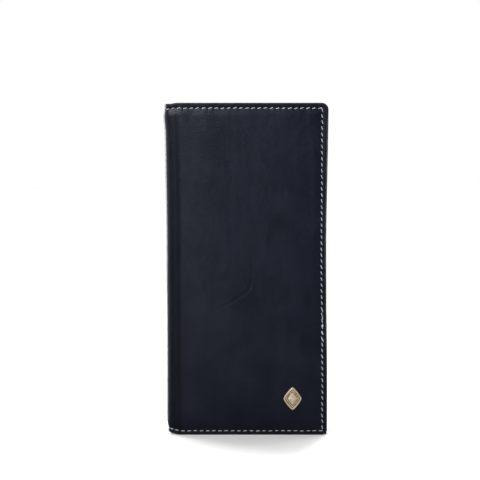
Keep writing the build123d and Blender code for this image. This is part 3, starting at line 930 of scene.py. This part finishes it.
# The zip's other metal: copies of CAD nodes with their sharp edges rounded
for name, node, body, width in (
    ("zip_slider_metal", "zip_slider", "slider", 0.14 * MM),
    ("puller_rivet_metal", "puller_rivet", "slider", 0.05 * MM),
    ("zip_puller_metal", "zip_puller", "puller", 0.2 * MM),
    ("zip_stops_metal", "zip_stops", "back_half", 0.15 * MM),
):
    work = cad_copy(node)
    bmesh.ops.dissolve_limit(
        work, angle_limit=math.radians(1), verts=work.verts, edges=work.edges
    )
    sharp = [e for e in work.edges if e.is_manifold and e.calc_face_angle(0) > math.radians(35)]
    bevel(work, sharp, width, 3)
    piece = make_from(name, work)
    shade_smooth(piece.data)
    piece.modifiers.new("normals", "WEIGHTED_NORMAL").keep_sharp = True
    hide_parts(node)
    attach(piece, body)
    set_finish(piece, "zip_metal")

# --- Badge: a generic lozenge with a raised rim, a ring of beads and a four-sided boss

emblem_low, emblem_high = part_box("emblem_plate")
EMBLEM = (emblem_low + emblem_high) / 2
EMBLEM_HALF = (emblem_high - emblem_low) / 2
EMBLEM_PROUD = FRONT_Y - emblem_low.y


def lozenge(t, scale, power):
    """The X and Z of a place on a rounded lozenge: power 1 has straight sides and a higher power
    rounder corners."""
    c, s = math.cos(t), math.sin(t)
    reach = (abs(c) ** power + abs(s) ** power) ** (-1 / power) * scale
    return EMBLEM.x + c * reach * EMBLEM_HALF.x, EMBLEM.z + s * reach * EMBLEM_HALF.z


# The badge sits on the swell of the padded leather
badge_s = EMBLEM.x - SPINE_X - FOLD_BEND + HALF_SPINE + BEND
BADGE_SEAT_Y = FRONT_Y - float(soft_relief(np.array(badge_s), np.array(EMBLEM.z - LOW_Z)))

# scale, height as a share of the badge's, corner power, depth of tarnish
BADGE_PROFILE = [
    (0.99, -0.55, 1.22, 0.3),
    (1.00, 0.25, 1.22, 0.3),
    (0.985, 0.55, 1.22, 0.1),
    (0.94, 0.80, 1.22, 0.0),
    (0.89, 0.86, 1.21, 0.0),
    (0.84, 0.80, 1.20, 0.1),
    (0.805, 0.55, 1.18, 0.7),
    (0.79, 0.33, 1.18, 1.0),
    (0.70, 0.27, 1.14, 1.0),
    (0.58, 0.27, 1.10, 1.0),
    (0.56, 0.42, 1.08, 0.6),
    (0.53, 0.62, 1.07, 0.0),
    (0.49, 0.70, 1.06, 0.0),
    (0.30, 0.86, 1.04, 0.0),
    (0.10, 1.00, 1.02, 0.0),
]
AROUND = 112
points, tarnish = [], []
for scale, height, power, dark in BADGE_PROFILE:
    for k in range(AROUND):
        x, z = lozenge(math.tau * k / AROUND, scale, power)
        points.append((x, BADGE_SEAT_Y - height * EMBLEM_PROUD, z))
        tarnish.append(dark)
faces = ring_faces(0, len(BADGE_PROFILE), AROUND)
apex = len(points)
points.append((EMBLEM.x, BADGE_SEAT_Y - 1.02 * EMBLEM_PROUD, EMBLEM.z))
tarnish.append(0.0)
last = apex - AROUND
faces += [(last + k, last + (k + 1) % AROUND, apex) for k in range(AROUND)]
faces.append(tuple(reversed(range(AROUND))))

BEADS = 26
BEAD_SIZE = 0.40 * MM
BEAD_SIDES = 8
BEAD_RINGS = 4
BEAD_SEAT_Y = BADGE_SEAT_Y - 0.27 * EMBLEM_PROUD
QUARTERS = [(1, 0), (0, 1), (-1, 0), (0, -1), (1, 0)]
for n in range(BEADS):
    # evenly spaced round the lozenge rather than by angle
    quarter, share = divmod((n + 0.5) * 4 / BEADS, 1)
    (ax, az), (bx, bz) = QUARTERS[int(quarter) :][:2]
    turn = math.atan2(az + (bz - az) * share, ax + (bx - ax) * share)
    bead_x, bead_z = lozenge(turn, 0.685, 1.15)
    first = len(points)
    for ring in range(1, BEAD_RINGS + 1):
        polar = math.pi / 2 * ring / BEAD_RINGS
        out, up = BEAD_SIZE * math.sin(polar), BEAD_SIZE * 0.9 * math.cos(polar)
        for k in range(BEAD_SIDES):
            phi = math.tau * k / BEAD_SIDES
            x, z = bead_x + out * math.cos(phi), bead_z + out * math.sin(phi)
            points.append((x, BEAD_SEAT_Y - up, z))
            tarnish.append(0.8 * smoothstep(2.5, 4, ring))
    faces += ring_faces(first, BEAD_RINGS, BEAD_SIDES)
    last = len(points) - BEAD_SIDES
    faces.append(tuple(first + k for k in range(BEAD_SIDES)))
    faces.append(tuple(last + k for k in reversed(range(BEAD_SIDES))))
badge = face_outwards(make_mesh("badge_metal", points, faces, worn=False))
point_attribute(badge, "tarnish", tarnish)
badge.data.set_sharp_from_angle(angle=math.radians(40))
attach(badge, "front_half")
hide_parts("emblem_plate")
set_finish(badge, "emblem_metal")

# --- Materials: their scales are in millimetres

PER_METRE = 1000.0


class Nodes:
    """A node tree, with short ways to add and join nodes."""

    def __init__(self, owner):
        owner.use_nodes = True
        self.owner = owner
        self.tree = owner.node_tree

    def plug(self, socket, value):
        """Joins a socket to another one, or gives it a number, a vector or a colour."""
        if isinstance(value, bpy.types.NodeSocket):
            self.tree.links.new(value, socket)
        elif socket.type == "RGBA":
            socket.default_value = (*value, 1)
        else:
            socket.default_value = value

    def fill(self, node, values):
        for key, value in values.items():
            self.plug(node.inputs[key], value)
        return node

    def add(self, kind, values, **settings):
        node = self.tree.nodes.new(f"ShaderNode{kind}")
        for key, value in settings.items():
            setattr(node, key, value)
        return self.fill(node, values)

    def set(self, **values):
        """Fills the sockets of a material's shader."""
        shader = self.tree.nodes["Principled BSDF"]
        self.fill(shader, {key.replace("_", " "): value for key, value in values.items()})
        return self.owner

    def value(self, name):
        return self.add("Attribute", {}, attribute_name=name).outputs["Fac"]

    def grain(self):
        """Places along the piece's own grain, which bend with it."""
        node = self.add("Attribute", {}, attribute_name="grain_co")
        return self.scaled(node.outputs["Vector"], (PER_METRE,) * 3)

    def place(self):
        return self.scaled(self.add("TexCoord", {}).outputs["Object"], (PER_METRE,) * 3)

    def scaled(self, vector, scale):
        return self.add("Mapping", {"Vector": vector, "Scale": scale}).outputs["Vector"]

    def noise(self, vector, scale, detail=3.0, roughness=0.5, distortion=0.0):
        values = {"Vector": vector, "Scale": scale, "Detail": detail}
        values |= {"Roughness": roughness, "Distortion": distortion}
        return self.add("TexNoise", values).outputs["Fac"]

    def ramp(self, factor, *stops):
        node = self.add("ValToRGB", {"Fac": factor})
        for element, (position, colour) in zip(node.color_ramp.elements, stops):
            element.position = position
            element.color = (*colour, 1)
        return node.outputs["Color"]

    def remap(self, value, low, high, to_low=0.0, to_high=1.0):
        values = {"Value": value, "From Min": low, "From Max": high}
        values |= {"To Min": to_low, "To Max": to_high}
        return self.add("MapRange", values).outputs["Result"]

    def mix(self, factor, a, b):
        return self.add("Mix", {0: factor, 6: a, 7: b}, data_type="RGBA").outputs[2]

    def maths(self, operation, a, b=0.0):
        return self.add("Math", {0: a, 1: b}, operation=operation).outputs["Value"]

    def times(self, a, b):
        return self.maths("MULTIPLY", a, b)

    def plus(self, a, b):
        return self.maths("ADD", a, b)

    def bump(self, height, distance, strength, under=None):
        values = {"Height": height, "Distance": distance, "Strength": strength}
        if under is not None:
            values["Normal"] = under
        return self.add("Bump", values).outputs["Normal"]


def new_material(name):
    return Nodes(bpy.data.materials.new(name))


def leather(name, dark, light, edge, roughness, wrinkles):
    """Smooth calf: fine pores over soft wrinkles, a border darker towards the rim, painted shade on
    the bend and worn cut edges with a painted highlight.
    """
    m = new_material(name)
    place = m.grain()
    rim = m.times(m.value("rim"), PER_METRE)
    # a near black of the leather's colour, for the painted shade on the bend and the darker border
    dark_border_and_bend_shade = tuple(c * 0.3 for c in dark)
    clouds = m.noise(place, 0.045, 4.0, 0.55, 0.4)
    streaks = m.noise(m.scaled(place, (0.16, 0.03, 1.0)), 1.0)
    tone = m.plus(m.times(clouds, 0.7), m.times(streaks, 0.3))
    colour = m.ramp(tone, (0.36, dark), (0.64, light))
    # painted shade: the bend beside the spine is darkened towards near black
    colour = m.mix(m.times(m.value("painted_bend_shade"), 0.55), colour, dark_border_and_bend_shade)
    # darker within about 3 mm of the rim
    colour = m.mix(m.times(m.remap(rim, 1.6, 3.4, 1.0, 0.0), 0.5), colour, dark_border_and_bend_shade)
    patches = m.remap(m.noise(place, 0.2, 4.0, 0.6), 0.2, 0.6)
    # cut edges lighter in noisy patches: edge wear all round, and along the middle of the open edge
    # a painted highlight of its lit rim
    worn = m.times(m.remap(rim, 0.3, 1.1, 1.0, 0.0), patches)
    colour = m.mix(m.times(worn, m.value("wear_and_rim_highlight")), colour, edge)
    rough = m.noise(place, 0.22, 5.0, 0.6)
    rough = m.remap(rough, 0.3, 0.7, roughness - 0.05, roughness + 0.07)
    rough = m.plus(rough, m.remap(rim, 0.05, 0.3, 0.3, 0.0))
    cells = {"Vector": place, "Scale": 2.1, "Smoothness": 0.35}
    pores = m.add("TexVoronoi", cells, feature="SMOOTH_F1").outputs["Distance"]
    fine = m.bump(pores, 0.03 * MM, 0.5)
    pebble = m.bump(m.noise(place, 0.8, 4.0, 0.55), 0.09 * MM, 0.4, fine)
    folds = m.noise(m.scaled(place, (0.13, 0.42, 1.0)), 1.0, 3.0, 0.55, 1.2)
    lines = m.remap(m.maths("ABSOLUTE", m.maths("SUBTRACT", folds, 0.5)), 0.0, 0.22)
    lined = m.bump(m.times(lines, m.value("wrinkle")), 0.06 * MM, wrinkles, pebble)
    swell = m.noise(m.scaled(place, (0.075, 0.032, 1.0)), 1.0, 2.0, 0.5, 0.25)
    normal = m.bump(swell, 0.6 * MM, 0.8, lined)
    return m.set(Base_Color=colour, Roughness=rough, Normal=normal, IOR=1.38)


def cloth(name, dark, light, threads, depth):
    """A plain weave of threads per millimetre."""
    m = new_material(name)
    place = m.grain()
    values = {"Vector": place, "Scale": threads, "Distortion": 0.6}
    warp, weft = (
        m.add("TexWave", values, wave_type="BANDS", bands_direction=way).outputs["Fac"]
        for way in "XY"
    )
    weave = m.times(warp, weft)
    tone = m.plus(m.times(weave, 0.6), m.times(m.noise(place, 0.08, 4.0), 0.5))
    return m.set(
        Base_Color=m.ramp(tone, (0.2, dark), (0.8, light)),
        Normal=m.bump(weave, depth, 0.8),
        Roughness=0.82,
        Sheen_Weight=0.25,
        Sheen_Roughness=0.5,
    )


def twisted(name, dark, light):
    """Sewing thread."""
    m = new_material(name)
    fibres = m.noise(m.scaled(m.grain(), (1.5, 7.0, 7.0)), 1.0, 3.0, 0.6)
    colour, normal = m.ramp(fibres, (0.3, dark), (0.7, light)), m.bump(fibres, 0.04 * MM, 0.8)
    return m.set(Base_Color=colour, Normal=normal, Roughness=0.55, Sheen_Weight=0.15)


def metal(name, bright, tarnished, roughness, recesses=False, metallic=1.0):
    """Polished metal with faint scratches, spots of tarnish and, if asked for, dark recesses."""
    m = new_material(name)
    place = m.place()
    scratches = m.noise(m.scaled(place, (0.6, 6.0, 6.0)), 1.0)
    amount = m.times(m.remap(m.noise(place, 0.6, 5.0, 0.6), 0.45, 0.75), 0.5)
    if recesses:
        amount = m.maths("MAXIMUM", amount, m.times(m.value("tarnish"), 0.9))
    rough = m.remap(m.plus(scratches, amount), 0.3, 1.3, roughness - 0.06, roughness + 0.22)
    return m.set(
        Base_Color=m.mix(amount, bright, tarnished),
        Roughness=rough,
        Normal=m.bump(scratches, 0.01 * MM, 0.4),
        Metallic=metallic,
    )


def fibreboard(name, dark, light):
    m = new_material(name)
    fibres = m.noise(m.scaled(m.place(), (0.8, 3.0, 0.8)), 1.0, 6.0, 0.7)
    colour, normal = m.ramp(fibres, (0.3, dark), (0.7, light)), m.bump(fibres, 0.05 * MM, 0.5)
    return m.set(Base_Color=colour, Normal=normal, Roughness=0.7)


# dark, light and edge colours; the outer leather's light grey edge is partly wear and partly a
# painted highlight
NAVY = (0.0058, 0.0080, 0.0185), (0.0100, 0.0125, 0.0265), (0.115, 0.120, 0.125)
INNER_NAVY = (0.0065, 0.0088, 0.0190), (0.0110, 0.0135, 0.0270), (0.040, 0.042, 0.050)
LINING_BLACK = (0.007, 0.0085, 0.014), (0.021, 0.024, 0.036)
TAPE_BLACK = (0.008, 0.009, 0.013), (0.026, 0.028, 0.036)
THREAD_GREY = (0.24, 0.25, 0.28), (0.66, 0.67, 0.72)
BRASS = (0.70, 0.55, 0.33), (0.16, 0.11, 0.06)
GILT = (0.97, 0.83, 0.56), (0.12, 0.085, 0.045)
STEEL = (0.55, 0.55, 0.55), (0.25, 0.25, 0.25)
BOARD_BLACK = (0.012, 0.012, 0.014), (0.035, 0.033, 0.032)
looks = {
    "outer_leather": leather("outer_leather", *NAVY, 0.36, 1.0),
    "inner_leather": leather("inner_leather", *INNER_NAVY, 0.42, 0.5),
    "lining": cloth("lining_cloth", *LINING_BLACK, 0.9, 0.06 * MM),
    "zip_tape": cloth("zip_tape_cloth", *TAPE_BLACK, 1.1, 0.08 * MM),
    "thread": twisted("thread", *THREAD_GREY),
    "zip_metal": metal("zip_metal", *BRASS, 0.26),
    "emblem_metal": metal("badge_metal", *GILT, 0.38, True, 0.5),
    "board": fibreboard("board_edge", *BOARD_BLACK),
}


def paint(obj, material):
    obj.data.materials.clear()
    obj.data.materials.append(material)


for obj in bpy.data.objects:
    if obj.type == "MESH" and "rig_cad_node" not in obj and obj.get("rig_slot") in looks:
        paint(obj, looks[obj["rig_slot"]])
washer_look = metal("washer_metal", *STEEL, 0.35)
for material_slot in frame["nodes"]["emblem_washer"].material_slots:
    material_slot.material = washer_look

# --- Floor, light and camera

FLOOR = 6.0  # half its width
floor_corners = [(x * FLOOR, y * FLOOR, LOW_Z) for x, y in ((-1, -1), (1, -1), (1, 1), (-1, 1))]
floor = make_mesh("floor", floor_corners, [(0, 1, 2, 3)], worn=False)
white, pale = (1, 1, 1), (0.9, 0.9, 0.9)
floor_look = new_material("floor")
floor_look.set(Base_Color=pale, Roughness=0.9, Emission_Color=white, Emission_Strength=0.12)
paint(floor, floor_look.owner)
floor.visible_glossy = False
floor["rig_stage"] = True

MIDDLE = Vector((0, MIDDLE_Y, (LOW_Z + HIGH_Z) / 2))

# Wide soft lights from above: strength, spread, lean back from upright and turn, in degrees
for name, energy, spread, lean, turn in (
    ("sky", 0.45, 110, 8, 0),
    ("sky_behind", 1.1, 24, 22, 0),
    ("sky_behind_left", 0.75, 26, 34, -50),
    ("sky_behind_right", 0.75, 26, 34, 50),
):
    data = bpy.data.lights.new(name, "SUN")
    data.energy = energy
    data.angle = math.radians(spread)
    link(name, data).rotation_euler = (math.radians(-lean), 0, math.radians(turn))

# Softboxes aimed at the wallet: place, width, height, power
for name, place, width, height, power in (
    ("key", (-0.13, -0.56, 0.18), 0.14, 0.42, 0.19),
    ("upper_key", (-0.24, -0.45, 0.54), 0.20, 0.16, 1.7),
    ("fill", (-0.35, -0.50, 0.75), 0.40, 0.40, 0.9),
    ("left_strip", (-0.45, 0.35, 0.15), 0.25, 0.6, 4.5),
    ("right_strip", (0.30, 0.55, 0.34), 0.12, 0.45, 2.3),
    ("left_front", (-0.50, -0.10, 0.14), 0.30, 0.50, 0.55),
):
    data = bpy.data.lights.new(name, "AREA")
    data.shape = "RECTANGLE"
    data.size, data.size_y = width, height
    data.energy = power
    lamp = link(name, data)
    lamp.location = place
    lamp.rotation_euler = (MIDDLE - Vector(place)).to_track_quat("-Z", "Y").to_euler()

# The world is white to the camera. It lights the wallet from behind and hardly from the front.
BACKDROP_GLOW, FRONT_GLOW = 0.55, 0.03
world = Nodes(bpy.data.worlds.new("studio"))
bpy.context.scene.world = world.owner
direction = world.add("TexCoord", {}).outputs["Generated"]
depth = world.add("SeparateXYZ", {"Vector": direction}).outputs["Y"]
glow = world.remap(depth, -0.3, 0.7, FRONT_GLOW, BACKDROP_GLOW)
around = world.fill(world.tree.nodes["Background"], {"Color": white, "Strength": glow})
seen = world.add("Background", {"Color": white})
to_camera = world.add("LightPath", {}).outputs["Is Camera Ray"]
shaders = {1: around.outputs["Background"], 2: seen.outputs["Background"]}
choice = world.add("MixShader", {"Fac": to_camera, **shaders})
world.fill(world.tree.nodes["World Output"], {"Surface": choice.outputs["Shader"]})

bpy.context.scene.view_settings.view_transform = "Standard"

ELEVATION = math.radians(4.0)
DISTANCE = 0.62
AIM = Vector((-3.6 * MM, FRONT_Y, MIDDLE.z + 17.5 * MM))
camera = link("camera", bpy.data.cameras.new("camera"))
camera.data.sensor_width = 36
camera.data.lens = 81.9
camera.location = AIM + DISTANCE * Vector((0, -math.cos(ELEVATION), math.sin(ELEVATION)))
camera.rotation_euler = (AIM - camera.location).to_track_quat("-Z", "Y").to_euler()
bpy.context.scene.camera = camera

low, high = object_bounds()
